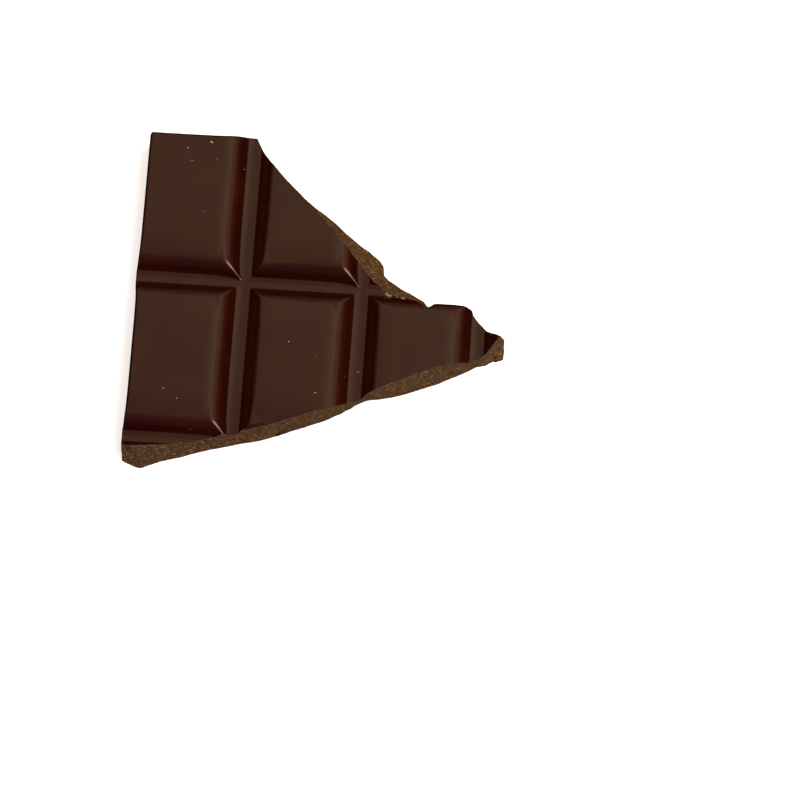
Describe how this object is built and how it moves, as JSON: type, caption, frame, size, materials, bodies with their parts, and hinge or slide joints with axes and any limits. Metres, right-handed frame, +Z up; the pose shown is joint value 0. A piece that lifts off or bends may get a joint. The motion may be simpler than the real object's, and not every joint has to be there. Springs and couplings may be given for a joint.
{
  "type": "broken chocolate bar piece",
  "caption": "Corner piece broken off a flat moulded bar of dark chocolate, with raised oblong tablets, grooves between them and two rough cracked sides.",
  "frame": {"origin": "centre of the bounding box, at the level of the flat underside", "axes": "+Z up out of the tablets' tops, +X across the bar from its moulded long edge, +Y along the bar towards its moulded short edge"},
  "size_m": [0.06, 0.0552, 0.0074],
  "materials": {
    "dark_chocolate": "tempered dark chocolate with a satin moulded skin, and dull brown grain on the cracked sides"
  },
  "bodies": {
    "root": {"chocolate_piece": "dark_chocolate"}
  },
  "joints": []
}
